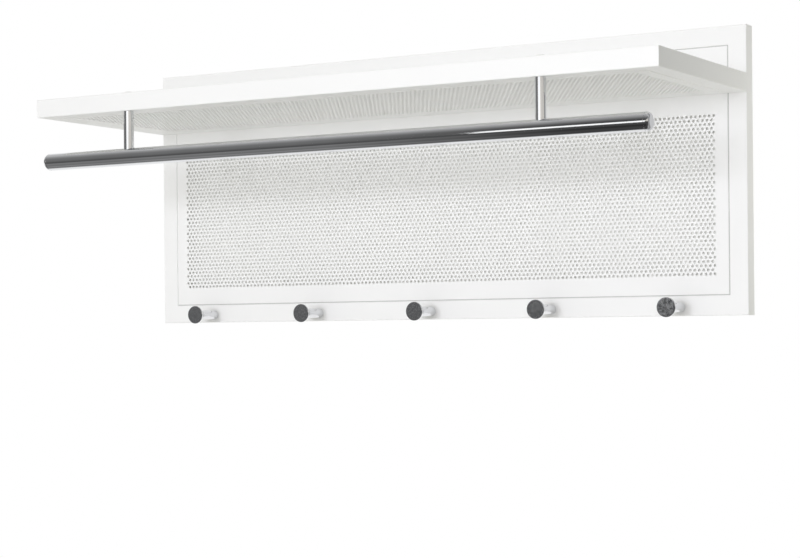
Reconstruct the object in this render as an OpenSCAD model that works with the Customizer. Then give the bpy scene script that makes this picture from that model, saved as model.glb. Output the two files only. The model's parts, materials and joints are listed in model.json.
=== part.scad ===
// Wall coat rack: a framed panel of perforated steel sheet with a shelf of the same build,
// a chromed coat rail on two posts under the shelf's front edge, and a row of chromed pegs.
// Millimetres. +X is to the right, +Z is up, the wall is at y = 0 and the room is towards -Y.
// The origin is the middle of the top tube's back face, where the rack hangs on the wall.

/* [Overall] */
// Width of the panel and the shelf
rack_w = 750; // [700:10:1000]
// Height of the back panel
panel_h = 300; // [280:5:400]
// Distance from the wall to the shelf's front face
rack_d = 250; // [200:5:320]

/* [Back panel] */
// Thickness of the back panel
panel_t = 18; // [17:0.5:24]
// Width of the frame at the panel's top and sides
panel_border = 20; // [18:1:28]
// Width of the frame along the panel's bottom, which holds the pegs
peg_border = 21; // [20:1:30]

/* [Shelf] */
// Thickness of the shelf
shelf_t = 20; // [18:1:26]
// Height of the shelf's underside above the panel's lower edge
shelf_height = 230; // [180:5:240]
// Width of the frame round the shelf
shelf_border = 20; // [16:1:28]

/* [Steel frame and sheet] */
// Wall of the frame's tubes
tube_wall = 1.5; // [1.2:0.1:2]
// Radius of the tubes' long edges
edge_r = 1; // [0.5:0.1:1.2]
// Thickness of the sheets
sheet_t = 1; // [0.8:0.1:2]
// Gap round a sheet
sheet_gap = 1; // [0.5:0.1:2]
// Width of the lip that a sheet lies on
lip_w = 10; // [9:0.5:14]
// Thickness of the lip
lip_t = 1.5; // [1:0.1:2]
// Thickness of the backing board
board_t = 3; // [2:0.5:4]
// Depth of the rail across the panel that the shelf is bolted to
cross_t = 12; // [8:0.5:12]

/* [Coat rail] */
// Outside diameter of the rail
rail_d = 19; // [16:0.5:25]
// Wall of the rail's tube
rail_wall = 1.5; // [1:0.1:2]
// Distance from each end of the shelf to the end of the rail
rail_end_inset = 10; // [6:1:40]
// Distance from the shelf's underside down to the rail's axis
rail_drop = 50; // [35:1:70]
// Distance from the shelf's front face back to the rail's axis
rail_setback = 6; // [6:0.5:12]
// Diameter of the posts
post_d = 11; // [10:0.5:12]
// Distance between the posts
post_spacing = 500; // [300:10:560]
// Thickness of the rail's end caps
cap_t = 5; // [1.6:0.1:6]

/* [Pegs] */
// Distance between neighbouring pegs
peg_pitch = 150; // [90:5:155]
// Height of the pegs' axis above the panel's lower edge
peg_height = 9; // [9:0.5:11]
// Length of a peg from the panel to the face of its head
peg_len = 40; // [30:1:60]
// Diameter of a peg's stem
peg_d = 11; // [9:0.5:14]
// Diameter of a peg's head
peg_head_d = 21; // [18:0.5:30]
// Thickness of the rim of a peg's head
peg_rim_t = 1.6; // [1:0.1:3]
// Length of the flare behind the head
peg_flare = 14; // [6:1:18]

/* [Fasteners] */
// Diameter of the wall screws' heads that enter the keyholes
keyhole_entry_d = 9; // [8:0.5:9]
// Width of the keyholes' slots
keyhole_slot_w = 5; // [4:0.5:5.5]
// Distance between the two keyholes
keyhole_spacing = 600; // [300:10:620]
// Thread diameter of the bolts that hold the shelf
shelf_bolt_d = 6; // [5:1:6]
// Thread diameter of the screws that hold the pegs
peg_screw_d = 5; // [4:1:5]
// Thread diameter of the screws that hold the posts
post_screw_d = 4; // [3:0.5:4]
// Diameter of the studs that hold the sheets
stud_d = 3; // [3:0.5:4]
// Distance by which a clearance hole is wider than its screw
hole_play = 0.5; // [0.3:0.1:0.6]

/* [Hidden] */
$fn = 64;

enamel = "white";
bright = "silver";
zinc = "lightgray";
board = "whitesmoke";

past = 1;                                   // how far a cutting shape runs past the solid
half_w = rack_w / 2;
panel_top = panel_border / 2;
panel_low = panel_top - panel_h;

// Heights, from the middle of the panel's top tube
shelf_bottom = panel_low + shelf_height;
shelf_top = shelf_bottom + shelf_t;
shelf_mid = shelf_bottom + shelf_t / 2;
rail_z = shelf_bottom - rail_drop;
peg_z = panel_low + peg_height;

// Depths, negative towards the room
sheet_back = sheet_t - panel_t;             // back of the perforated sheet
lip_back = sheet_back + lip_t;              // back of the lip behind it
cross_back = sheet_back + cross_t;          // back of the cross rail
rail_y = rail_setback - rack_d;

notch_play = 0.5;                           // round the panel's top lip in the cross rail

// Backing board in the panel's back, on standoffs that keep it clear of the perforated sheet
board_gap = 1;                              // from the board's edge to the frame
board_inset = 1.5;                          // from the board's back to the wall
board_back = -board_inset;
board_front = board_back - board_t;

// Studs and nuts of the sheets
stud_inset = lip_w / 2;                     // from the frame to a stud's axis
stud_pitch = 180;
stud_count = 4;
stud_nut_af = 5.5;                          // across flats
stud_nut_h = 2.4;
stud_end = 1;                               // thread that shows past the nut
stud_grip = 3.5;                            // thread inside a standoff, from either end
stud_row = [for (i = [0 : stud_count - 1]) (i - (stud_count - 1) / 2) * stud_pitch];

// Where the studs stand: [x, z] on the panel, [x, y] on the shelf
stud_low_z = panel_low + peg_border + stud_inset;
stud_cross_z = shelf_bottom - stud_inset;
stud_top_z = panel_top - panel_border - stud_inset;
stud_side_x = half_w - panel_border - stud_inset;
board_studs = concat(
    [for (x = stud_row, z = [stud_low_z, stud_cross_z]) [x, z]],
    [for (x = [-stud_side_x, stud_side_x]) [x, (stud_low_z + stud_cross_z) / 2]]);
top_studs = [for (x = stud_row) [x, stud_top_z]];
shelf_front_stud_y = shelf_border + stud_inset - rack_d;
shelf_back_stud_y = -panel_t - shelf_border - stud_inset;
shelf_studs = [for (x = stud_row, y = [shelf_front_stud_y, shelf_back_stud_y]) [x, y]];

// Bolts of the shelf
bolt_pitch = 190;
bolt_count = 4;
bolt_row = [for (i = [0 : bolt_count - 1]) (i - (bolt_count - 1) / 2) * bolt_pitch];
bolt_head_d = 1.75 * shelf_bolt_d;
bolt_head_h = 0.5 * shelf_bolt_d;
bolt_nut_af = 1.6667 * shelf_bolt_d;
bolt_nut_h = 0.8 * shelf_bolt_d;
bolt_end = 1;                               // thread that shows past the nut

// Screws of the posts and their plugs
post_bore = 14;                             // depth of the threaded hole in a post
post_screw_reach = 10;                      // thread length inside the post
post_head_d = 1.75 * post_screw_d;
post_head_h = 0.65 * post_screw_d;
post_access_d = post_head_d + hole_play;
post_spigot_d = 6;
post_spigot_in = 2;                         // length of the spigot inside the rail's bore
spigot_play = 0.2;
plug_brim = 0.75;
plug_head_d = post_access_d + 2 * plug_brim;
plug_head_h = 1;
plug_depth = 4;
plug_play = 0.1;

// Screws of the pegs
peg_count = 5;
peg_bore = 14;                              // depth of the threaded hole in a peg
peg_screw_reach = 11;
peg_head_screw_d = 1.9 * peg_screw_d;
peg_head_screw_h = 0.6 * peg_screw_d;
peg_access_d = peg_head_screw_d + 2 * hole_play;
peg_edge = 0.3;                             // chamfer round the head's face
flare_steps = 10;
function peg_x(i) = (i - (peg_count + 1) / 2) * peg_pitch;

// End caps of the rail
cap_plug_len = 8;
cap_play = 0.1;
cap_edge = 0.9 * cap_t;                     // radius round the cap's face
edge_steps = 6;

// Keyholes
keyhole_drop = 3.5;                         // entry's axis below the middle of the tube
keyhole_rise = 7;                           // from the entry's axis up to the slot's end

// Turns a flat outline so that it runs along +X: outline x becomes Y, outline y becomes Z
module along_x(from, to) {
    translate([from, 0, 0]) rotate([90, 0, 90]) linear_extrude(to - from) children();
}

// Turns a flat outline so that it runs along Y: outline x stays X, outline y becomes Z
module along_y(from, to) {
    translate([0, to, 0]) rotate([90, 0, 0]) linear_extrude(to - from) children();
}

module along_z(from, to) {
    translate([0, 0, from]) linear_extrude(to - from) children();
}

// Block between two corners
module block(low, high) {
    translate(low) cube(high - low);
}

// Round bar along Y and along Z between two depths or heights
module bar_y(x, z, d, from, to) {
    translate([x, to, z]) rotate([90, 0, 0]) cylinder(d = d, h = to - from);
}

module bar_z(x, y, d, from, to) {
    translate([x, y, from]) cylinder(d = d, h = to - from);
}

// Hexagon of a nut along Y and along Z
module nut_y(x, z, af, from, to) {
    translate([x, to, z]) rotate([90, 0, 0]) cylinder(d = af / cos(30), h = to - from, $fn = 6);
}

module nut_z(x, y, af, from, to) {
    translate([x, y, from]) cylinder(d = af / cos(30), h = to - from, $fn = 6);
}

// Outline of a tube, with rounded edges outside
module tube_outline(w, h) {
    difference() {
        union() {
            translate([edge_r, 0]) square([w - 2 * edge_r, h]);
            translate([0, edge_r]) square([w, h - 2 * edge_r]);
            for (x = [edge_r, w - edge_r], y = [edge_r, h - edge_r])
                translate([x, y]) circle(r = edge_r);
        }
        translate([tube_wall, tube_wall])
            square([w - 2 * tube_wall, h - 2 * tube_wall]);
    }
}

// Outline of a panel member: x runs inwards from the panel's edge, y from the wall to the room
module panel_outline(border) {
    tube_outline(border, panel_t);
    translate([border - tube_wall, panel_t - sheet_t - lip_t])
        square([tube_wall + lip_w, lip_t]);
}

// Outline of a shelf member: x runs inwards from the shelf's edge, y up from its underside
module shelf_outline() {
    tube_outline(shelf_border, shelf_t);
    for (z = [sheet_t, shelf_t - sheet_t - lip_t])
        translate([shelf_border - tube_wall, z]) square([tube_wall + lip_w, lip_t]);
}

// Point on the mitre line of a corner: k is 0 at the outer corner and 1 at the inner one
function mitre(corner, inward, k) = corner + k * inward;

// Mitre mask of one member between two corners
module mitre_mask(corner_a, inward_a, corner_b, inward_b, k) {
    out = -0.2;                             // the mask runs past the outer corners
    polygon([
        mitre(corner_a, inward_a, out), mitre(corner_b, inward_b, out),
        mitre(corner_b, inward_b, k), mitre(corner_a, inward_a, k)
    ]);
}

// Corners of the panel in X and Z, and the way to their inner corners
p_tl = [-half_w, panel_top];
p_tr = [half_w, panel_top];
p_bl = [-half_w, panel_low];
p_br = [half_w, panel_low];
in_tl = [panel_border, -panel_border];
in_tr = [-panel_border, -panel_border];
in_bl = [panel_border, peg_border];
in_br = [-panel_border, peg_border];
panel_k = 1 + (lip_w + past) / panel_border;
peg_k = 1 + (lip_w + past) / peg_border;

// Corners of the shelf in X and Y
s_fl = [-half_w, -rack_d];
s_fr = [half_w, -rack_d];
s_bl = [-half_w, -panel_t];
s_br = [half_w, -panel_t];
in_fl = [shelf_border, shelf_border];
in_fr = [-shelf_border, shelf_border];
in_bl2 = [shelf_border, -shelf_border];
in_br2 = [-shelf_border, -shelf_border];
shelf_k = 1 + (lip_w + past) / shelf_border;

module back_frame_top() color(enamel) difference() {
    intersection() {
        along_x(-half_w - past, half_w + past)
            translate([0, panel_top]) mirror([0, 1]) rotate(90) panel_outline(panel_border);
        along_y(-panel_t - past, past) mitre_mask(p_tl, in_tl, p_tr, in_tr, panel_k);
    }
    for (s = [-1, 1]) keyhole(s * keyhole_spacing / 2);
    for (p = top_studs) bar_y(p[0], p[1], stud_d + hole_play, sheet_back - past, lip_back + past);
}

// Opening for a wall screw: its head goes in at the round part and its neck slides up
module keyhole(x) {
    entry_z = -keyhole_drop;
    bar_y(x, entry_z, keyhole_entry_d, -tube_wall - past, past);
    bar_y(x, entry_z + keyhole_rise, keyhole_slot_w, -tube_wall - past, past);
    block([x - keyhole_slot_w / 2, -tube_wall - past, entry_z],
          [x + keyhole_slot_w / 2, past, entry_z + keyhole_rise]);
}

module back_frame_bottom() color(enamel) difference() {
    intersection() {
        along_x(-half_w - past, half_w + past)
            translate([0, panel_low]) rotate(90) panel_outline(peg_border);
        along_y(-panel_t - past, past) mitre_mask(p_bl, in_bl, p_br, in_br, peg_k);
    }
    for (i = [1 : peg_count]) {
        bar_y(peg_x(i), peg_z, peg_screw_d + hole_play, -panel_t - past, tube_wall - panel_t + past);
        bar_y(peg_x(i), peg_z, peg_access_d, -tube_wall - past, past);
    }
    for (x = stud_row)
        bar_y(x, stud_low_z, stud_d + hole_play, sheet_back - past, lip_back + past);
}

// One side of the panel's frame: side is -1 on the left and 1 on the right
module back_frame_side(side) color(enamel) difference() {
    intersection() {
        along_z(panel_low - past, panel_top + past)
            translate([side * half_w, 0]) mirror([0, 1]) mirror([side > 0 ? 1 : 0, 0])
                panel_outline(panel_border);
        along_y(-panel_t - past, past)
            mitre_mask([side * half_w, panel_top], [-side * panel_border, -panel_border],
                       [side * half_w, panel_low], [-side * panel_border, peg_border], panel_k);
    }
    bar_y(side * stud_side_x, (stud_low_z + stud_cross_z) / 2, stud_d + hole_play,
          sheet_back - past, lip_back + past);
}

module back_frame_left() back_frame_side(-1);
module back_frame_right() back_frame_side(1);

// Rail across the panel behind the sheet, with a lip for the standoffs of the backing board.
// Where the shelf is set high, its front is notched clear of the panel's top lip and studs.
module back_cross_rail() color(enamel) difference() {
    cross_end = half_w - panel_border;
    union() {
        along_x(-cross_end, cross_end)
            translate([sheet_back, shelf_bottom]) tube_outline(cross_t, shelf_t);
        along_x(-cross_end, cross_end)
            translate([sheet_back, shelf_bottom - lip_w]) square([lip_t, lip_w + edge_r]);
    }
    for (s = [-1, 1])
        block([s * (cross_end - lip_w / 2) - lip_w / 2 - past, sheet_back - past,
               shelf_bottom - lip_w - past],
              [s * (cross_end - lip_w / 2) + lip_w / 2 + past, lip_back, shelf_top + past]);
    block([-half_w, sheet_back - past, panel_top - panel_border - lip_w - notch_play],
          [half_w, lip_back + stud_nut_h + stud_end + notch_play, panel_top]);
    for (x = bolt_row) bar_y(x, shelf_mid, shelf_bolt_d + hole_play, sheet_back - past, past);
    for (x = stud_row)
        bar_y(x, stud_cross_z, stud_d + hole_play, sheet_back - past, lip_back + past);
}

// Perforated sheet of the panel, flush with the frame
module back_sheet() color(enamel) difference() {
    block([-half_w + panel_border + sheet_gap, -panel_t, panel_low + peg_border + sheet_gap],
          [half_w - panel_border - sheet_gap, sheet_back, panel_top - panel_border - sheet_gap]);
    for (x = bolt_row)
        bar_y(x, shelf_mid, shelf_bolt_d + hole_play, -panel_t - past, sheet_back + past);
}

module back_sheet_studs() color(zinc) {
    for (p = board_studs)
        bar_y(p[0], p[1], stud_d, sheet_back, lip_back + stud_grip);
    for (p = top_studs)
        bar_y(p[0], p[1], stud_d, sheet_back, lip_back + stud_nut_h + stud_end);
}

// Nuts on the studs along the panel's top, each with the stud's own bore
module back_sheet_nuts() color(zinc) {
    for (p = top_studs) difference() {
        nut_y(p[0], p[1], stud_nut_af, lip_back, lip_back + stud_nut_h);
        bar_y(p[0], p[1], stud_d, lip_back - past, lip_back + stud_nut_h + past);
    }
}

// Hexagonal standoffs on the other studs, threaded from both ends
module board_standoffs() color(zinc) {
    for (p = board_studs) difference() {
        nut_y(p[0], p[1], stud_nut_af, lip_back, board_front);
        bar_y(p[0], p[1], stud_d, lip_back - past, board_front + past);
    }
}

module backing_board() color(board) difference() {
    block([-half_w + panel_border + board_gap, board_front, panel_low + peg_border + board_gap],
          [half_w - panel_border - board_gap, board_back, shelf_bottom - board_gap]);
    for (p = board_studs) {
        bar_y(p[0], p[1], stud_d + hole_play, board_front - past, board_back + past);
        screw_head(p);
    }
}

// Countersunk head of a screw, flush with the backing board's back
module screw_head(p) {
    translate([p[0], board_back, p[1]]) rotate([90, 0, 0])
        cylinder(d1 = 2 * stud_d, d2 = stud_d, h = stud_d / 2);
}

module board_screws() color(zinc) {
    for (p = board_studs) {
        screw_head(p);
        bar_y(p[0], p[1], stud_d, board_front - stud_grip, board_back);
    }
}

module shelf_frame_front() color(enamel) difference() {
    intersection() {
        along_x(-half_w - past, half_w + past)
            translate([-rack_d, shelf_bottom]) shelf_outline();
        along_z(shelf_bottom - past, shelf_top + past) mitre_mask(s_fl, in_fl, s_fr, in_fr, shelf_k);
    }
    for (s = [-1, 1]) {
        bar_z(s * post_spacing / 2, rail_y, post_screw_d + hole_play,
              shelf_bottom - past, shelf_bottom + tube_wall + past);
        bar_z(s * post_spacing / 2, rail_y, post_access_d,
              shelf_top - tube_wall - past, shelf_top + past);
    }
    shelf_stud_holes(shelf_front_stud_y);
}

module shelf_frame_back() color(enamel) difference() {
    intersection() {
        along_x(-half_w - past, half_w + past)
            translate([-panel_t, shelf_bottom]) mirror([1, 0]) shelf_outline();
        along_z(shelf_bottom - past, shelf_top + past)
            mitre_mask(s_bl, in_bl2, s_br, in_br2, shelf_k);
    }
    for (x = bolt_row)
        bar_y(x, shelf_mid, shelf_bolt_d + hole_play,
              -panel_t - tube_wall - past, -panel_t + past);
    shelf_stud_holes(shelf_back_stud_y);
}

// Holes through the shelf's lower lip for the studs of the sheet under it
module shelf_stud_holes(y) {
    for (x = stud_row)
        bar_z(x, y, stud_d + hole_play, shelf_bottom + sheet_t - past,
              shelf_bottom + sheet_t + lip_t + past);
}

// One end of the shelf's frame: side is -1 on the left and 1 on the right
module shelf_frame_side(side) color(enamel) intersection() {
    along_y(-rack_d - past, -panel_t + past)
        translate([side * half_w, shelf_bottom]) mirror([side > 0 ? 1 : 0, 0]) shelf_outline();
    along_z(shelf_bottom - past, shelf_top + past)
        mitre_mask([side * half_w, -rack_d], [-side * shelf_border, shelf_border],
                   [side * half_w, -panel_t], [-side * shelf_border, -shelf_border], shelf_k);
}

module shelf_frame_left() shelf_frame_side(-1);
module shelf_frame_right() shelf_frame_side(1);

// One sheet of the shelf, flush with the frame
module shelf_sheet(bottom) color(enamel) {
    inset = shelf_border + sheet_gap;
    block([-half_w + inset, -rack_d + inset, bottom],
          [half_w - inset, -panel_t - inset, bottom + sheet_t]);
}

module shelf_under_sheet() shelf_sheet(shelf_bottom);
module shelf_top_sheet() shelf_sheet(shelf_top - sheet_t);

module shelf_sheet_studs() color(zinc) {
    for (p = shelf_studs)
        bar_z(p[0], p[1], stud_d, shelf_bottom + sheet_t,
              shelf_bottom + sheet_t + lip_t + stud_nut_h + stud_end);
}

module shelf_sheet_nuts() color(zinc) {
    seat = shelf_bottom + sheet_t + lip_t;
    for (p = shelf_studs) difference() {
        nut_z(p[0], p[1], stud_nut_af, seat, seat + stud_nut_h);
        bar_z(p[0], p[1], stud_d, seat - past, seat + stud_nut_h + past);
    }
}

// Bolts from behind through the cross rail and the sheet into the shelf
module shelf_bolts() color(zinc) {
    for (x = bolt_row) {
        bar_y(x, shelf_mid, bolt_head_d, cross_back, cross_back + bolt_head_h);
        bar_y(x, shelf_mid, shelf_bolt_d,
              -panel_t - tube_wall - bolt_nut_h - bolt_end, cross_back + past);
    }
}

module shelf_weld_nuts() color(zinc) {
    for (x = bolt_row) difference() {
        nut_y(x, shelf_mid, bolt_nut_af, -panel_t - tube_wall - bolt_nut_h, -panel_t - tube_wall);
        bar_y(x, shelf_mid, shelf_bolt_d,
              -panel_t - tube_wall - bolt_nut_h - past, -panel_t - tube_wall + past);
    }
}

rail_half = half_w - rail_end_inset - cap_t;

module rail_bar(d, reach) {
    translate([-reach, rail_y, rail_z]) rotate([0, 90, 0]) cylinder(d = d, h = 2 * reach);
}

module rail_tube() color(bright) difference() {
    rail_bar(rail_d, rail_half);
    rail_bar(rail_d - 2 * rail_wall, rail_half + past);
    for (s = [-1, 1])
        bar_z(s * post_spacing / 2, rail_y, post_spigot_d + spigot_play,
              rail_z, rail_z + rail_d / 2 + past);
}

// End cap on the rail: a rounded disc with a plug that fits the tube
module rail_cap(side) color(bright)
    translate([side * rail_half, rail_y, rail_z]) rotate([0, side * 90, 0]) {
        rotate_extrude() polygon(concat(
            [[0, 0], [rail_d / 2, 0]],
            [for (i = [0 : edge_steps])
                let (a = 90 * i / edge_steps)
                [rail_d / 2 - cap_edge + cap_edge * cos(a), cap_t - cap_edge + cap_edge * sin(a)]],
            [[0, cap_t]]));
        translate([0, 0, -cap_plug_len])
            cylinder(d = rail_d - 2 * rail_wall - 2 * cap_play, h = cap_plug_len + cap_t / 2);
    }

module rail_cap_left() rail_cap(-1);
module rail_cap_right() rail_cap(1);

// Post from the shelf down to the rail, cut to the rail's curve, with a spigot in its bore
module rail_post(side) color(bright) difference() {
    x = side * post_spacing / 2;
    spigot_low = rail_z + rail_d / 2 - rail_wall - post_spigot_in;
    union() {
        difference() {
            bar_z(x, rail_y, post_d, rail_z, shelf_bottom);
            rail_bar(rail_d, rail_half);
        }
        bar_z(x, rail_y, post_spigot_d, spigot_low, rail_z + rail_d);
    }
    bar_z(x, rail_y, post_screw_d, shelf_bottom - post_bore, shelf_bottom + past);
}

module rail_post_left() rail_post(-1);
module rail_post_right() rail_post(1);

// Screws inside the shelf's front tube that hold the posts
module rail_screws() color(zinc) {
    seat = shelf_bottom + tube_wall;
    for (s = [-1, 1]) {
        bar_z(s * post_spacing / 2, rail_y, post_screw_d, shelf_bottom - post_screw_reach, seat + past);
        bar_z(s * post_spacing / 2, rail_y, post_head_d, seat, seat + post_head_h);
    }
}

// Plugs over the access holes in the shelf's front tube
module rail_screw_plugs() color(enamel) {
    for (s = [-1, 1]) {
        bar_z(s * post_spacing / 2, rail_y, plug_head_d, shelf_top, shelf_top + plug_head_h);
        bar_z(s * post_spacing / 2, rail_y, post_access_d - 2 * plug_play,
              shelf_top - plug_depth, shelf_top + plug_head_h / 2);
    }
}

// Radius of the flare at a share t of its length, from the stem to the head
function flare_r(t) = peg_d / 2 + (peg_head_d - peg_d) / 2 * (1 - cos(90 * t));

// Peg: a stem that flares into a thin flat head, with a threaded hole in its foot
module peg(i) color(bright)
    translate([peg_x(i), -panel_t, peg_z]) rotate([90, 0, 0]) difference() {
        flare_start = peg_len - peg_rim_t - peg_flare;
        rotate_extrude() polygon(concat(
            [[0, 0], [peg_d / 2, 0]],
            [for (k = [0 : flare_steps])
                [flare_r(k / flare_steps), flare_start + peg_flare * k / flare_steps]],
            [[peg_head_d / 2, peg_len - peg_edge], [peg_head_d / 2 - peg_edge, peg_len],
             [0, peg_len]]));
        translate([0, 0, -past]) cylinder(d = peg_screw_d, h = peg_bore + past);
    }

module peg_1() peg(1);
module peg_2() peg(2);
module peg_3() peg(3);
module peg_4() peg(4);
module peg_5() peg(5);

// Screws inside the panel's bottom tube that hold the pegs
module peg_screws() color(zinc) {
    seat = tube_wall - panel_t;
    for (i = [1 : peg_count]) {
        bar_y(peg_x(i), peg_z, peg_screw_d, -panel_t - peg_screw_reach, seat + past);
        bar_y(peg_x(i), peg_z, peg_head_screw_d, seat, seat + peg_head_screw_h);
    }
}

back_frame_top();
back_frame_bottom();
back_frame_left();
back_frame_right();
back_cross_rail();
back_sheet();
back_sheet_studs();
back_sheet_nuts();
board_standoffs();
backing_board();
board_screws();
shelf_frame_front();
shelf_frame_back();
shelf_frame_left();
shelf_frame_right();
shelf_under_sheet();
shelf_top_sheet();
shelf_sheet_studs();
shelf_sheet_nuts();
shelf_bolts();
shelf_weld_nuts();
rail_tube();
rail_cap_left();
rail_cap_right();
rail_post_left();
rail_post_right();
rail_screws();
rail_screw_plugs();
peg_1();
peg_2();
peg_3();
peg_4();
peg_5();
peg_screws();
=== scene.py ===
"""Looks of the wall coat rack: powder-coated perforated sheets, chromed rail and pegs, studio."""
import json
import math
import bmesh
import bpy
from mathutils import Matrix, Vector


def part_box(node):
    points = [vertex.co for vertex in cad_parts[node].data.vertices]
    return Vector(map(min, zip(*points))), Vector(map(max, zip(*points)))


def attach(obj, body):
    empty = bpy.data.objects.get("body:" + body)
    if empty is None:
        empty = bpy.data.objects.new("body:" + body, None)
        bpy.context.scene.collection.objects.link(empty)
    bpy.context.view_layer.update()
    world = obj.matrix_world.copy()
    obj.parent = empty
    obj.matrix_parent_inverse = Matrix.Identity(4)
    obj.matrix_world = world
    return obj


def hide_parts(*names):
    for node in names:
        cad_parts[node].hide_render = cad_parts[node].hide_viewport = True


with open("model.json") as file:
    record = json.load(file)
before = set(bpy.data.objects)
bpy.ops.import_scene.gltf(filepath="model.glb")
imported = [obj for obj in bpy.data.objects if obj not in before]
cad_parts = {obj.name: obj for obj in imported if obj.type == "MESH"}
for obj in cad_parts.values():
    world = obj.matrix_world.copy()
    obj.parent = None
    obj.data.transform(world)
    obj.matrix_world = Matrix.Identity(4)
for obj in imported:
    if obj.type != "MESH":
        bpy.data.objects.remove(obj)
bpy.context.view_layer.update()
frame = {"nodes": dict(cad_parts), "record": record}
nodes = frame["nodes"]

MM = 0.001
BODY = "root"

# The photograph's frame and its camera, solved from the rack's own corners and sizes
PHOTO_W = 800
PHOTO_H = 558
SENSOR_MM = 36
FOCAL_PX = 1948.4
HORIZON_PX = 334.3
CAMERA_PLACE = (1.0787, -1.9322, -0.3065)
CAMERA_YAW = 0.5295
CAMERA_ROLL = 0.0095

# Stock perforation: 3 mm holes, rows staggered by 60 degrees
HOLE_D = 3 * MM
HOLE_PITCH = 5 * MM
HOLE_COLUMNS = 136
PANEL_ROWS = 39
SHELF_ROWS = 40

# Middle of the panel's perforation above the panel's lower edge, and the shelf's bolt holes
PATTERN_UP = 125.5 * MM
BOLTS = 4
BOLT_PITCH = 190 * MM
BOLT_HOLE_D = 6.5 * MM
BOLT_HOLE_STEPS = 32

# Chromed parts
PEGS = 5
TURN_STEPS = 96
PEG_STEPS = 72
TUBE_WALL = 1.5 * MM
SOFT_EDGE = 0.2 * MM

# How near two points are merged: in a turned piece, between cells and over a whole sheet
TURNED_WELD = 0.002 * MM
CELL_WELD = 0.01 * MM
SHEET_WELD = 0.02 * MM

# Edges flatter than this angle are shaded smooth
SMOOTH_ANGLE = math.radians(32)

# A face looks straight to the front where its normal's y is lower than this
FACING_FRONT = -0.999

# Refractive index of polyester, polyethylene and lacquer
COATING_IOR = 1.5

# A noise stays mostly within the wide range; most materials' two tones lie nearer its middle
NOISE_WIDE = (0.3, 0.7)
NOISE_NEAR = (0.35, 0.65)

# How far from the depth of the sheet's back a lip may lie
LIP_DEPTH_PLAY = 0.1 * MM

# A mix node's sockets: its two values, its two colours, and its output for colours
VALUE_A, VALUE_B = 2, 3
COLOUR_A, COLOUR_B = 6, 7
COLOUR_OUT = 2


# Materials

def linear(code):
    """The linear colour of an sRGB hex value."""
    parts = [int(code[i:i + 2], 16) / 255 for i in (1, 3, 5)]
    return [c / 12.92 if c <= 0.04045 else ((c + 0.055) / 1.055) ** 2.4 for c in parts] + [1]


def put(tree, kind, values=None, links=None, stops=(), **settings):
    """Adds a node.

    values are its constant sockets, links its inputs, stops the (place, colour) of a colour
    ramp, and settings its properties.
    """
    made = tree.nodes.new(kind)
    for name, value in settings.items():
        setattr(made, name, value)
    for name, value in (values or {}).items():
        made.inputs[name].default_value = value
    for name, source in (links or {}).items():
        tree.links.new(source, made.inputs[name])
    if stops:
        marks = made.color_ramp.elements
        while len(marks) < len(stops):
            marks.new(1)
        for mark, (place, colour) in zip(marks, stops):
            mark.position = place
            mark.color = colour
    return made


def new_material(name):
    """An empty material with its tree and output."""
    made = bpy.data.materials.new(name)
    made.use_nodes = True
    tree = made.node_tree
    tree.nodes.clear()
    return made, tree, put(tree, "ShaderNodeOutputMaterial")


def grain(tree, size_mm, detail=2.0, roughness=0.5, stretch=None):
    """Noise whose lumps are size_mm wide, drawn out along an axis where stretch is given."""
    place = put(tree, "ShaderNodeTexCoord").outputs["Object"]
    if stretch:
        drawn_out = put(tree, "ShaderNodeMapping", {"Scale": stretch}, {"Vector": place})
        place = drawn_out.outputs["Vector"]
    noise = put(tree, "ShaderNodeTexNoise",
                {"Scale": 1 / (size_mm * MM), "Detail": detail, "Roughness": roughness},
                {"Vector": place})
    return noise.outputs["Fac"]


def finish_material(tree, output, tones, tone_noise, rough, rough_noise, relief,
                    bump_mm, bump_strength, tone_range=NOISE_NEAR, **constants):
    """Closes a material: its two tones and its roughness wander with their own noises.

    The relief is a bump of bump_mm; constants are the other sockets of the shader.
    """
    tone = put(tree, "ShaderNodeValToRGB", links={"Fac": tone_noise},
               stops=[(tone_range[0], linear(tones[0])), (tone_range[1], linear(tones[1]))])
    roughness = put(tree, "ShaderNodeMapRange",
                    {"From Min": NOISE_WIDE[0], "From Max": NOISE_WIDE[1],
                     "To Min": rough[0], "To Max": rough[1]},
                    {"Value": rough_noise})
    bump = put(tree, "ShaderNodeBump",
               {"Strength": bump_strength, "Distance": bump_mm * MM}, {"Height": relief})
    shader = put(tree, "ShaderNodeBsdfPrincipled", constants,
                 {"Base Color": tone.outputs["Color"],
                  "Roughness": roughness.outputs["Result"],
                  "Normal": bump.outputs["Normal"]})
    tree.links.new(shader.outputs["BSDF"], output.inputs["Surface"])
    return shader


def powder_coat(name):
    """Polyester powder coat baked on steel: satin white with a fine orange peel.

    The orange peel's waves are about 2 mm wide, as on real coats.
    """
    made, tree, output = new_material(name)
    shader = finish_material(
        tree, output,
        tones=("#F9F9F8", "#FAFAF9"), tone_noise=grain(tree, 160),
        rough=(0.36, 0.44), rough_noise=grain(tree, 30),
        relief=grain(tree, 1.8, detail=1.0), bump_mm=0.012, bump_strength=0.5,
        **{"IOR": COATING_IOR, "Specular IOR Level": 0.4})
    return made, tree, shader


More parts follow.
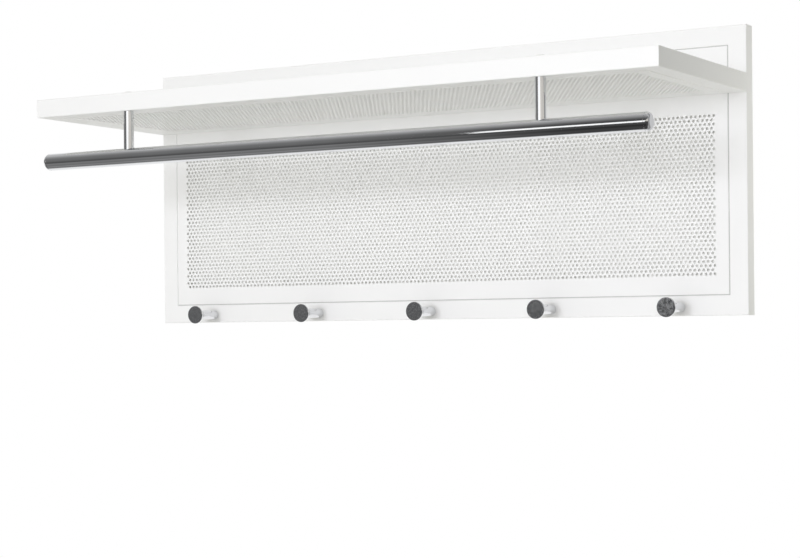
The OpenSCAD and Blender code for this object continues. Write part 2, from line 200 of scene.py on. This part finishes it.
def frame_coat():
    """The panel frame's powder coat, with painted shade on the lips in the hairline gap.

    There the colour is painted a darker grey and the finish is more matt. The lips are the faces
    to the front as deep as the back of the sheet.
    """
    made, tree, shader = powder_coat("powder_coat_frame")
    spot = put(tree, "ShaderNodeTexCoord").outputs
    depth = put(tree, "ShaderNodeSeparateXYZ", links={"Vector": spot["Object"]}).outputs["Y"]
    facing = put(tree, "ShaderNodeSeparateXYZ", links={"Vector": spot["Normal"]}).outputs["Y"]
    deep = put(tree, "ShaderNodeMath", {1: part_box("back_sheet")[1].y, 2: LIP_DEPTH_PLAY},
               {0: depth}, operation="COMPARE")
    front = put(tree, "ShaderNodeMath", {1: FACING_FRONT}, {0: facing}, operation="LESS_THAN")
    lip = put(tree, "ShaderNodeMath", links={0: deep.outputs[0], 1: front.outputs[0]},
              operation="MULTIPLY").outputs[0]
    # Painted shade: the lips down in the gap are coloured a darker grey than the coat
    painted_gap_shade = put(tree, "ShaderNodeValToRGB", links={"Fac": grain(tree, 60)},
                    stops=[(NOISE_NEAR[0], linear("#C4C4C2")),
                           (NOISE_NEAR[1], linear("#CACAC8"))]).outputs["Color"]
    gap_lip_rough = 0.65
    tone = shader.inputs["Base Color"].links[0].from_socket
    rough = shader.inputs["Roughness"].links[0].from_socket
    # Where the lip mask is set, the painted shade and a more matt finish replace the coat's own
    tone = put(tree, "ShaderNodeMix", links={0: lip, COLOUR_A: tone, COLOUR_B: painted_gap_shade},
               data_type="RGBA")
    rough = put(tree, "ShaderNodeMix", {VALUE_B: gap_lip_rough}, {0: lip, VALUE_A: rough},
                data_type="FLOAT")
    tree.links.new(tone.outputs[COLOUR_OUT], shader.inputs["Base Color"])
    tree.links.new(rough.outputs[0], shader.inputs["Roughness"])
    return made


def chrome_plate():
    """Nickel and chrome plated on polished steel: a mirror with faint polishing lines.

    The lines are drawn 1.2 mm wide, far coarser than real ones, so that they show.
    """
    made, tree, output = new_material("chrome_plate_polished")
    finish_material(tree, output,
                    tones=("#DFE0E2", "#E6E7E9"), tone_noise=grain(tree, 40),
                    rough=(0.045, 0.075), rough_noise=grain(tree, 22, detail=3.0),
                    relief=grain(tree, 1.2, stretch=(0.04, 1, 1)),
                    bump_mm=0.0015, bump_strength=0.25, tone_range=NOISE_WIDE,
                    **{"Metallic": 1.0})
    return made


def chrome_face():
    """Chrome over a faced, unpolished end: the same mirror, broken by turning grain.

    The grain is drawn 1.1 mm wide, coarser than a real one, so that it shows.
    """
    made, tree, output = new_material("chrome_plate_faced")
    finish_material(tree, output,
                    tones=("#D2D4D8", "#E8E9EB"), tone_noise=grain(tree, 2.4, detail=3.0),
                    rough=(0.08, 0.2), rough_noise=grain(tree, 3, detail=3.0),
                    relief=grain(tree, 1.1, detail=3.0, roughness=0.6),
                    bump_mm=0.02, bump_strength=0.5,
                    **{"Metallic": 1.0})
    return made


def zinc_plate():
    """Bright zinc on steel fasteners: a cool grey metal with a cloudy lustre.

    The grain of the plating is drawn 0.5 mm wide, coarser than a real one, so that it shows.
    """
    made, tree, output = new_material("zinc_plate_bright")
    finish_material(tree, output,
                    tones=("#B3B7BB", "#CBCCC8"), tone_noise=grain(tree, 5, detail=3.0),
                    rough=(0.26, 0.42), rough_noise=grain(tree, 2.5),
                    relief=grain(tree, 0.5), bump_mm=0.01, bump_strength=0.4,
                    **{"Metallic": 1.0})
    return made


def moulded_plastic():
    """Moulded polyethylene plugs: white, soft in lustre, with a spark-eroded grain.

    The grain is drawn 0.4 mm wide, coarser than a real one, so that it shows.
    """
    made, tree, output = new_material("polyethylene_white")
    finish_material(tree, output,
                    tones=("#EDEDEA", "#F2F2EF"), tone_noise=grain(tree, 12),
                    rough=(0.42, 0.54), rough_noise=grain(tree, 4),
                    relief=grain(tree, 0.4), bump_mm=0.01, bump_strength=0.4,
                    **{"IOR": COATING_IOR})
    return made


def lacquered_board():
    """White lacquer roller-coated on pressed hardboard: flat, with a faint fibre tone.

    The fibre is drawn 3 mm wide and three times as long, coarser than a real one, so that it
    shows.
    """
    made, tree, output = new_material("hardboard_lacquered_white")
    fibre = grain(tree, 3, detail=5.0, stretch=(0.35, 1, 1))
    finish_material(tree, output,
                    tones=("#FAFAF8", "#FBFBF9"), tone_noise=fibre,
                    rough=(0.5, 0.64), rough_noise=grain(tree, 9),
                    relief=fibre, bump_mm=0.03, bump_strength=0.35, tone_range=NOISE_WIDE,
                    **{"IOR": COATING_IOR})
    return made


# Modelling by hand

def deselect():
    """Leaves edit mode and selects nothing, so that the next operator acts on its own piece."""
    if bpy.context.mode != "OBJECT":
        bpy.ops.object.mode_set(mode="OBJECT")
    bpy.ops.object.select_all(action="DESELECT")


def edit(piece):
    """Opens one piece in edit mode with all of it selected."""
    deselect()
    piece.select_set(True)
    bpy.context.view_layer.objects.active = piece
    bpy.ops.object.mode_set(mode="EDIT")
    bpy.ops.mesh.select_mode(type="VERT")
    bpy.ops.mesh.select_all(action="SELECT")


def added(name):
    """Names the primitive that was just added."""
    piece = bpy.context.object
    piece.name = name
    piece.data.name = name
    return piece


def apply_modifier(piece, kind, **settings):
    """Gives the piece a modifier and applies it."""
    deselect()
    piece.select_set(True)
    bpy.context.view_layer.objects.active = piece
    made = piece.modifiers.new(kind.lower(), kind)
    for name, value in settings.items():
        setattr(made, name, value)
    bpy.ops.object.modifier_apply(modifier=made.name)


def joined(name, pieces):
    """Joins pieces into the first one."""
    deselect()
    for piece in pieces:
        piece.select_set(True)
    bpy.context.view_layer.objects.active = pieces[0]
    bpy.ops.object.join()
    return added(name)


def settle(piece):
    """Moves a piece's place, turn and scale into its mesh."""
    deselect()
    piece.select_set(True)
    bpy.context.view_layer.objects.active = piece
    bpy.ops.object.transform_apply(location=True, rotation=True, scale=True)


def hand_over(piece, material, slot, *replaced):
    """Gives a finished piece its material and hides the CAD nodes that it stands for; slot is not
    used.
    """
    piece.data.materials.clear()
    piece.data.materials.append(material)
    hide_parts(*replaced)
    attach(piece, BODY)


def turned(name, outline, steps):
    """A piece turned on a lathe round Z: outline is a list of (radius, place along the axis).

    The outline is drawn in the XZ plane by extruding one vertex, and spun round Z.
    """
    deselect()
    bpy.ops.mesh.primitive_plane_add(size=1, location=(0, 0, 0))
    piece = added(name)
    edit(piece)
    bpy.ops.mesh.merge(type="CENTER")
    at = Vector((outline[0][0], 0, outline[0][1]))
    bpy.ops.transform.translate(value=at)
    for radius, along in outline[1:]:
        step = Vector((radius, 0, along)) - at
        bpy.ops.mesh.extrude_region_move(TRANSFORM_OT_translate={"value": step})
        at += step
    bpy.ops.mesh.select_all(action="SELECT")
    bpy.ops.mesh.spin(steps=steps, angle=2 * math.pi, center=(0, 0, 0), axis=(0, 0, 1))
    bpy.ops.mesh.select_all(action="SELECT")
    bpy.ops.mesh.remove_doubles(threshold=TURNED_WELD)
    bpy.ops.mesh.normals_make_consistent(inside=False)
    settle(piece)
    bpy.ops.object.shade_smooth_by_angle(angle=SMOOTH_ANGLE)
    return piece


def placed(piece, place, turn):
    """Turns a piece that was modelled round the origin, and puts it in its place."""
    piece.rotation_euler = turn
    piece.location = place
    settle(piece)
    return piece


def copied(piece, name, place, turn):
    """A copy of a piece with its own mesh, turned and put in its place."""
    made = piece.copy()
    made.data = piece.data.copy()
    made.name = name
    made.data.name = name
    bpy.context.scene.collection.objects.link(made)
    return placed(made, place, turn)


def arc(centre_r, centre_along, radius, start, end, steps):
    """Points of an arc of an outline; angles in degrees from the radial way to the axis's."""
    points = []
    for i in range(steps + 1):
        angle = math.radians(start + (end - start) * i / steps)
        points.append((centre_r + radius * math.cos(angle),
                       centre_along + radius * math.sin(angle)))
    return points


# Perforated sheets

def cell_rows(name, rows, first):
    """Every second row of six-sided cells, from the first cell's middle, with closed holes."""
    cell_r = HOLE_PITCH / math.sqrt(3)
    # From the hole's middle to its flat sides, so that it has a round hole's area
    hole_apothem = HOLE_D * math.sqrt(math.pi / (8 * math.sqrt(3)))
    deselect()
    bpy.ops.mesh.primitive_circle_add(vertices=6, radius=cell_r, fill_type="NGON",
                                      location=(first[0], first[1], 0))
    piece = added(name)
    edit(piece)
    bpy.ops.mesh.inset(thickness=HOLE_PITCH / 2 - hole_apothem, use_even_offset=True)
    deselect()
    apply_modifier(piece, "ARRAY", count=HOLE_COLUMNS, use_relative_offset=False,
                   use_constant_offset=True, constant_offset_displace=(HOLE_PITCH, 0, 0),
                   use_merge_vertices=True, merge_threshold=CELL_WELD)
    apply_modifier(piece, "ARRAY", count=rows, use_relative_offset=False,
                   use_constant_offset=True, constant_offset_displace=(0, 3 * cell_r, 0))
    settle(piece)
    return piece


def perforated_sheet(name, width, depth, thickness, rows, pattern_y, bolt_holes):
    """A flat sheet round the origin, seen face up, with rows of staggered holes round pattern_y.

    The holes are six-sided and as large as round ones, because the sheets have thousands.
    """
    row_step = HOLE_PITCH * math.sqrt(3) / 2
    left = HOLE_PITCH / 4 - (HOLE_COLUMNS - 1) / 2 * HOLE_PITCH
    front = pattern_y - (rows - 1) / 2 * row_step
    even = cell_rows("even_rows", (rows + 1) // 2, (left, front))
    odd = cell_rows("odd_rows", rows // 2, (left - HOLE_PITCH / 2, front + row_step))
    deselect()
    bpy.ops.mesh.primitive_plane_add(size=1, location=(0, 0, 0))
    rim = added("sheet_rim")
    rim.scale = (width, depth, 1)
    settle(rim)
    edit(rim)
    bpy.ops.mesh.delete(type="ONLY_FACE")
    outlines = [rim]
    for x, y in bolt_holes:
        deselect()
        bpy.ops.mesh.primitive_circle_add(vertices=BOLT_HOLE_STEPS, radius=BOLT_HOLE_D / 2,
                                          fill_type="NOTHING", location=(x, y, 0))
        outlines.append(added("bolt_hole"))
        settle(outlines[-1])
    sheet = joined(name, [even, odd] + outlines)
    edit(sheet)
    bpy.ops.mesh.remove_doubles(threshold=SHEET_WELD)
    # The plain border is filled between the cells' outer edges, the rim and the bolt holes
    bpy.ops.mesh.select_mode(type="EDGE")
    bpy.ops.mesh.select_all(action="DESELECT")
    bpy.ops.mesh.select_non_manifold(extend=False, use_wire=True, use_boundary=True,
                                     use_multi_face=False, use_non_contiguous=False,
                                     use_verts=False)
    bpy.ops.mesh.fill(use_beauty=True)
    # The closed holes are the only six-sided faces, and they are opened
    bpy.ops.mesh.select_mode(type="FACE")
    bpy.ops.mesh.select_all(action="DESELECT")
    bpy.ops.mesh.select_face_by_sides(number=6, type="EQUAL", extend=False)
    bpy.ops.mesh.delete(type="FACE")
    bpy.ops.mesh.select_all(action="SELECT")
    bpy.ops.mesh.normals_make_consistent(inside=False)
    shape = bmesh.from_edit_mesh(sheet.data)
    if sum(face.normal.z * face.calc_area() for face in shape.faces) < 0:
        bpy.ops.mesh.flip_normals()
    deselect()
    apply_modifier(sheet, "SOLIDIFY", thickness=thickness, offset=-1, use_even_offset=False)
    return sheet


def back_panel_sheet(material):
    """The panel's sheet, flush in its frame, plain where the shelf is bolted through it."""
    low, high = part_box("back_sheet")
    middle = (low + high) / 2
    pattern_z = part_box("back_frame_bottom")[0].z + PATTERN_UP
    bolt_z = (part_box("shelf_frame_front")[0].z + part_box("shelf_frame_front")[1].z) / 2
    bolts = [((i - (BOLTS - 1) / 2) * BOLT_PITCH, bolt_z - middle.z) for i in range(BOLTS)]
    sheet = perforated_sheet("panel_sheet", high.x - low.x, high.z - low.z, high.y - low.y,
                             PANEL_ROWS, pattern_z - middle.z, bolts)
    placed(sheet, (0, low.y, middle.z), (math.radians(90), 0, 0))
    hand_over(sheet, material, "white_enamel", "back_sheet")


def shelf_underside_sheet(material):
    """The shelf's lower sheet, flush in its frame, with the same perforation."""
    low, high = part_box("shelf_under_sheet")
    middle = (low + high) / 2
    sheet = perforated_sheet("shelf_sheet", high.x - low.x, high.y - low.y, high.z - low.z,
                             SHELF_ROWS, 0, [])
    placed(sheet, (0, middle.y, low.z), (math.radians(180), 0, 0))
    hand_over(sheet, material, "white_enamel", "shelf_under_sheet")


# Chromed parts

def coat_rail(material):
    """The rail's tube, with its ends broken by a small chamfer."""
    low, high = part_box("rail_tube")
    middle = (low + high) / 2
    radius = min(high.y - low.y, high.z - low.z) / 2
    half = (high.x - low.x) / 2
    bore = radius - TUBE_WALL
    outline = [(bore, -half), (radius - SOFT_EDGE, -half), (radius, SOFT_EDGE - half),
               (radius, half - SOFT_EDGE), (radius - SOFT_EDGE, half), (bore, half),
               (bore, -half)]
    tube = turned("coat_rail_tube", outline, TURN_STEPS)
    placed(tube, middle, (0, math.radians(90), 0))
    hand_over(tube, material, "chrome", "rail_tube")
    return middle, radius


def rail_end_shape(radius):
    """An end cap: a disc with a rounded edge on a plug that sits in the tube's bore."""
    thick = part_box("rail_cap_right")[1].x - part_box("rail_tube")[1].x
    play = 0.1 * MM
    plug_r = radius - TUBE_WALL - play
    plug = 8 * MM
    lead = 0.5 * MM
    edge = 0.9 * thick
    edge_steps = 12
    outline = [(0, -plug), (plug_r - lead, -plug), (plug_r, lead - plug), (plug_r, 0),
               (radius - SOFT_EDGE, 0), (radius, SOFT_EDGE)]
    outline += arc(radius - edge, thick - edge, edge, 0, 90, edge_steps)
    outline += [(radius - edge - SOFT_EDGE, thick), (0, thick)]
    return turned("rail_end_shape", outline, TURN_STEPS)


def rail_post_shape(rail_middle, radius):
    """A post from the shelf, its foot cut to the rail's curve, with a bore for its screw."""
    low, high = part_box("rail_post_right")
    post_r = (high.x - low.x) / 2
    bore_r = 2 * MM
    bore = 14 * MM
    foot = rail_middle.z - high.z
    outline = [(0, -bore), (bore_r, -bore), (bore_r, -SOFT_EDGE), (bore_r + SOFT_EDGE, 0),
               (post_r - SOFT_EDGE, 0), (post_r, -SOFT_EDGE), (post_r, foot), (0, foot)]
    shape = turned("rail_post_shape", outline, PEG_STEPS)
    cut_length = 4 * post_r
    deselect()
    bpy.ops.mesh.primitive_cylinder_add(vertices=TURN_STEPS, radius=radius, depth=cut_length,
                                        location=(0, 0, foot),
                                        rotation=(0, math.radians(90), 0))
    cutter = added("rail_cut")
    apply_modifier(shape, "BOOLEAN", operation="DIFFERENCE", solver="EXACT", object=cutter)
    bpy.data.objects.remove(cutter)
    bpy.ops.object.shade_smooth_by_angle(angle=SMOOTH_ANGLE)
    return shape


def rail_ends_and_posts(rail_middle, radius, material):
    """The caps and posts of both sides, copied from one cap and one post."""
    tube_low, tube_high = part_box("rail_tube")
    end_shape = rail_end_shape(radius)
    post_shape = rail_post_shape(rail_middle, radius)
    for side, seat, turn in (("left", tube_low.x, -90), ("right", tube_high.x, 90)):
        end = copied(end_shape, "coat_rail_end_" + side, (seat, rail_middle.y, rail_middle.z),
                     (0, math.radians(turn), 0))
        hand_over(end, material, "chrome", "rail_cap_" + side)
        low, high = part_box("rail_post_" + side)
        post = copied(post_shape, "coat_rail_post_" + side,
                      ((low.x + high.x) / 2, rail_middle.y, high.z), (0, 0, 0))
        hand_over(post, material, "chrome", "rail_post_" + side)
    bpy.data.objects.remove(end_shape)
    bpy.data.objects.remove(post_shape)


def coat_pegs(polished, faced):
    """The pegs: a stem with a screw's bore in its foot, flaring into a thin flat head."""
    low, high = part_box("peg_1")
    length = high.y - low.y
    head_r = min(high.x - low.x, high.z - low.z) / 2
    stem_r = 5.5 * MM
    rim = 1.6 * MM
    flare = 14 * MM
    flare_steps = 16
    edge = 0.5 * MM
    edge_steps = 5
    bore_r = 2.5 * MM
    bore = 14 * MM
    outline = [(0, bore), (bore_r, bore), (bore_r, SOFT_EDGE), (bore_r + SOFT_EDGE, 0),
               (stem_r - SOFT_EDGE, 0), (stem_r, SOFT_EDGE)]
    for i in range(flare_steps + 1):
        share = i / flare_steps
        radius = stem_r + (head_r - stem_r) * (1 - math.cos(math.radians(90 * share)))
        outline.append((radius, length - rim - flare + flare * share))
    outline += arc(head_r - edge, length - edge, edge, 0, 90, edge_steps)
    outline += [(head_r - edge - SOFT_EDGE, length), (0, length)]
    shape = turned("coat_peg_shape", outline, PEG_STEPS)
    for number in range(1, PEGS + 1):
        low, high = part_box("peg_" + str(number))
        middle = (low + high) / 2
        peg = copied(shape, "coat_peg_" + str(number), (middle.x, high.y, middle.z),
                     (math.radians(90), 0, 0))
        hand_over(peg, polished, "chrome", "peg_" + str(number))
        peg.data.materials.append(faced)
        for face in peg.data.polygons:
            if face.normal.y < FACING_FRONT and face.center.y < low.y + edge:
                face.material_index = 1
    bpy.data.objects.remove(shape)


# Studio

# Colours of the flash light, a white card, the curtain's cloth, the wall and the room's light
FLASH = "#F6F6FF"
WHITE = "#FFFFFF"
CLOTH = "#FFFAF2"
WALL = "#FFFFF7"
ROOM = "#FFFFF9"

# Middle of the rack, and the planes in which cards stand
RACK_MIDDLE = (0, 0, -0.14)
FRONT_Y = -3.0
RIGHT_X = 2.9
WALL_Y = 0.01

# Beam of a lamp without a grid, in degrees
OPEN_BEAM = 180

# Lamps: name, place, the point they face, size in metres, power in watts, colour and beam
LAMPS = (
    ("key_light", (0.06, -6.2, 0.22), RACK_MIDDLE, 1.21, 98, FLASH, OPEN_BEAM),
    ("far_light", (0.7, -6.0, 0.0), RACK_MIDDLE, 1.6, 20, FLASH, OPEN_BEAM),
    ("grid_light", (1.5, -3.6, 0.1), (0.375, -0.1, -0.14), 1.2, 1.3, FLASH, 40),
    ("wall_bounce", (0.62, 0.16, -0.14), (0.375, -0.05, -0.14), 0.3, 0.35, WALL,
     OPEN_BEAM),
)

# Cards that only mirrors see: name, two corners, turn in degrees, colour and level
CARDS = (
    ("soft_box_front", (-1.275, FRONT_Y, -0.08), (1.2, FRONT_Y, 0.36), 0, WHITE, 1.3),
    ("soft_box_near", (-0.22, -1.0, -0.2), (0.5, -1.0, -0.1), 0, WHITE, 1.3),
    ("curtain_front", (1.2, FRONT_Y, -0.08), (RIGHT_X, FRONT_Y, 0.42), 0, CLOTH, 0.8),
    ("curtain_right", (RIGHT_X, FRONT_Y, -0.05), (RIGHT_X, 0, 0.9), 90, CLOTH, 0.7),
    ("room_right_low", (RIGHT_X, -3.5, -3.5), (RIGHT_X, 0, -0.05), 90, WHITE, 0.07),
    ("room_right_high", (RIGHT_X, -3.5, 0.9), (RIGHT_X, 0, 3.2), 90, WHITE, 0.16),
    ("room_left", (-4, -3, -0.2), (-4, 3, 1), 90, WHITE, 0.22),
    ("wall_near", (0.385, WALL_Y, -1.2), (0.55, WALL_Y, 0.6), 0, WHITE, 0.67),
    ("wall_far", (0.55, WALL_Y, -1.2), (RIGHT_X, WALL_Y, 0.6), 0, WHITE, 0.33),
)

# Light of the room: its level, how it leans to one side, and what floor and ceiling add
ROOM_LEVEL = 0.405
ROOM_LEAN = (-0.28, -0.12, 0.06)
ROOM_POLES = 0.33


def studio_world():
    """White for what the camera, metal and glass see, and a soft light on the rest.

    The soft light is a little stronger from the left and from the front, as in a room whose
    walls and ceiling throw it back.
    """
    world = bpy.data.worlds.new("studio")
    bpy.context.scene.world = world
    world.use_nodes = True
    tree = world.node_tree
    tree.nodes.clear()
    rays = put(tree, "ShaderNodeLightPath").outputs
    seen = put(tree, "ShaderNodeMath", links={0: rays["Is Camera Ray"], 1: rays["Is Glossy Ray"]},
               operation="MAXIMUM")
    seen = put(tree, "ShaderNodeMath",
               links={0: seen.outputs[0], 1: rays["Is Transmission Ray"]}, operation="MAXIMUM")
    place = put(tree, "ShaderNodeTexCoord").outputs["Object"]
    lean = put(tree, "ShaderNodeVectorMath", {1: ROOM_LEAN}, {0: place}, operation="DOT_PRODUCT")
    height = put(tree, "ShaderNodeSeparateXYZ", links={"Vector": place}).outputs["Z"]
    squared = put(tree, "ShaderNodeMath", links={0: height, 1: height}, operation="MULTIPLY")
    raised = put(tree, "ShaderNodeMath", {1: ROOM_POLES, 2: ROOM_LEVEL},
                 {0: squared.outputs[0]}, operation="MULTIPLY_ADD")
    level = put(tree, "ShaderNodeMath", links={0: lean.outputs["Value"], 1: raised.outputs[0]},
                operation="ADD")
    soft = put(tree, "ShaderNodeBackground", {"Color": linear(ROOM)},
               {"Strength": level.outputs[0]})
    white = put(tree, "ShaderNodeBackground", {"Color": linear(WHITE), "Strength": 1.0})
    mixed = put(tree, "ShaderNodeMixShader", links={0: seen.outputs[0],
                                                    1: soft.outputs["Background"],
                                                    2: white.outputs["Background"]})
    put(tree, "ShaderNodeOutputWorld", links={"Surface": mixed.outputs["Shader"]})


def soft_box(name, place, aim, size, power, colour, beam):
    """A square area light that faces a point; a grid narrows its beam, in degrees."""
    lamp = bpy.data.lights.new(name, "AREA")
    lamp.shape = "SQUARE"
    lamp.size = size
    lamp.spread = math.radians(beam)
    lamp.energy = power
    lamp.color = linear(colour)[:3]
    light = bpy.data.objects.new(name, lamp)
    bpy.context.scene.collection.objects.link(light)
    light.location = place
    light.rotation_euler = (Vector(aim) - Vector(place)).to_track_quat("-Z", "Y").to_euler()
    light.visible_glossy = False
    light.visible_camera = False


def glossy_only(screen):
    """A studio screen that only mirrors see: it lights, shades and hides nothing else."""
    screen.visible_camera = False
    screen.visible_diffuse = False
    screen.visible_transmission = False
    screen.visible_shadow = False


def glow(name, colour, strength):
    """A material that shines evenly, for the screens; without a colour, one is linked later."""
    made, tree, output = new_material(name)
    shader = put(tree, "ShaderNodeEmission", {"Strength": strength})
    if colour:
        shader.inputs["Color"].default_value = linear(colour)
    tree.links.new(shader.outputs["Emission"], output.inputs["Surface"])
    made.cycles.emission_sampling = "NONE"
    return made, tree, shader


def greys(bands):
    """Colour stops of greys, each given by the share of white that it sends out."""
    return [(place, (level, level, level, 1)) for place, level in bands]


def card(name, low, high, turn, colour, strength):
    """A flat upright studio card between two corners, square to one axis."""
    middle = (Vector(low) + Vector(high)) / 2
    deselect()
    bpy.ops.mesh.primitive_plane_add(size=1, location=middle,
                                     rotation=(math.radians(90), 0, math.radians(turn)))
    made = added(name)
    span = Vector(high) - Vector(low)
    made.scale = (max(span.x, span.y), span.z, 1)
    settle(made)
    made.data.materials.append(glow(name + "_cloth", colour, strength)[0])
    glossy_only(made)


# The dim room is a curved screen round the rail: its reach in degrees and along the rack
ROOM_R = 3.2
ROOM_ANGLES = (-105, 120)
ROOM_ENDS = (-9, 3)
ROOM_COLUMNS = 32
ROOM_ROWS = 64

# Its bands from the floor up, near the rack and far to the left: (share of reach, grey level)
NEAR_BANDS = ((0, 0.4), (0.06, 0.05), (0.18, 0.06), (0.28, 0.03), (0.38, 0.08), (0.54, 0.07),
              (0.6, 0.1), (0.65, 0.17), (0.76, 0.37), (0.84, 0.5), (1, 0.55))
FAR_BANDS = ((0, 0.5), (0.08, 0.15), (0.14, 0.3), (0.21, 0.18), (0.33, 0.24), (0.38, 0.08),
             (0.5, 0.17), (0.62, 0.2), (0.72, 0.33), (0.82, 0.54), (1, 0.7))

# Shares of its length where the far bands end and the near ones begin
FAR_TO_NEAR = (0.58, 0.65)


def dim_room(centre):
    """The dim room in front of the rack, which the chrome mirrors: lighter to the left.

    Its bands are the room's floor, furniture, wall and ceiling, by their angle at the rail.
    """
    deselect()
    bpy.ops.mesh.primitive_grid_add(x_subdivisions=ROOM_COLUMNS, y_subdivisions=ROOM_ROWS,
                                    size=1, location=(0, 0, 0))
    screen = added("dim_room")
    for vertex in screen.data.vertices:
        along = ROOM_ENDS[0] + (vertex.co.x + 0.5) * (ROOM_ENDS[1] - ROOM_ENDS[0])
        angle = math.radians(ROOM_ANGLES[0] + (vertex.co.y + 0.5)
                             * (ROOM_ANGLES[1] - ROOM_ANGLES[0]))
        vertex.co = (along, centre.y - ROOM_R * math.cos(angle),
                     centre.z + ROOM_R * math.sin(angle))
    made, tree, shader = glow("dim_room_walls", None, 1.0)
    parts = put(tree, "ShaderNodeSeparateXYZ",
                links={"Vector": put(tree, "ShaderNodeTexCoord").outputs["UV"]}).outputs
    near = put(tree, "ShaderNodeValToRGB", links={"Fac": parts["Y"]}, stops=greys(NEAR_BANDS))
    far = put(tree, "ShaderNodeValToRGB", links={"Fac": parts["Y"]}, stops=greys(FAR_BANDS))
    side = put(tree, "ShaderNodeMapRange",
               {"From Min": FAR_TO_NEAR[0], "From Max": FAR_TO_NEAR[1],
                "To Min": 1.0, "To Max": 0.0},
               {"Value": parts["X"]})
    mixed = put(tree, "ShaderNodeMix", links={0: side.outputs["Result"],
                                              COLOUR_A: near.outputs["Color"],
                                              COLOUR_B: far.outputs["Color"]},
                data_type="RGBA")
    tree.links.new(mixed.outputs[COLOUR_OUT], shader.inputs["Color"])
    screen.data.materials.append(made)
    glossy_only(screen)


# Side and height of the floor, in metres
FLOOR_SIZE = 9
FLOOR_Z = -1.5


def floor():
    """A plain pale floor below the rack, out of the photograph's view."""
    made, tree, output = new_material("pale_floor")
    finish_material(tree, output,
                    tones=("#F5F5F3", "#F8F8F6"), tone_noise=grain(tree, 600),
                    rough=(0.7, 0.8), rough_noise=grain(tree, 400),
                    relief=grain(tree, 8), bump_mm=0.1, bump_strength=0.1)
    deselect()
    bpy.ops.mesh.primitive_plane_add(size=FLOOR_SIZE, location=(0, 0, FLOOR_Z))
    ground = added("floor")
    ground.data.materials.append(made)
    ground.visible_glossy = False


def photo_camera():
    """The photograph's camera: slightly rolled, its verticals kept upright by a small shift."""
    lens = bpy.data.cameras.new("photo_camera")
    lens.sensor_width = SENSOR_MM
    lens.lens = FOCAL_PX / PHOTO_W * SENSOR_MM
    lens.shift_y = (HORIZON_PX - PHOTO_H / 2) / PHOTO_W
    camera = bpy.data.objects.new("photo_camera", lens)
    bpy.context.scene.collection.objects.link(camera)
    camera.location = CAMERA_PLACE
    camera.rotation_euler = (math.radians(90), CAMERA_ROLL, CAMERA_YAW)
    bpy.context.scene.camera = camera


def dress_cad_nodes(materials):
    """Gives each CAD node the material of its slot in the record."""
    for row in frame["record"]["subparts"]:
        node = nodes[row["node"]]
        material = materials[row["material_slot"]]
        for place in node.material_slots:
            place.material = material


def dress_panel_frame(material):
    """Gives the panel's four frame members their own coat, with painted shade in the gap."""
    for side in ("top", "bottom", "left", "right"):
        for place in nodes["back_frame_" + side].material_slots:
            place.material = material


chrome = chrome_plate()
faced_chrome = chrome_face()
coat = powder_coat("powder_coat_white")[0]
dress_cad_nodes({"white_enamel": coat, "chrome": chrome, "zinc_plate": zinc_plate(),
                 "white_plastic": moulded_plastic(), "white_hardboard": lacquered_board()})
dress_panel_frame(frame_coat())
photo_camera()
back_panel_sheet(coat)
shelf_underside_sheet(coat)
rail_place, rail_radius = coat_rail(chrome)
rail_ends_and_posts(rail_place, rail_radius, chrome)
coat_pegs(chrome, faced_chrome)

studio_world()
for lamp in LAMPS:
    soft_box(*lamp)
dim_room(rail_place)
for screen in CARDS:
    card(*screen)
floor()
deselect()
bpy.context.scene.view_settings.view_transform = "Standard"
# The light that gets through the holes bounces many times between the sheet and the board
bpy.context.scene.cycles.diffuse_bounces = 12
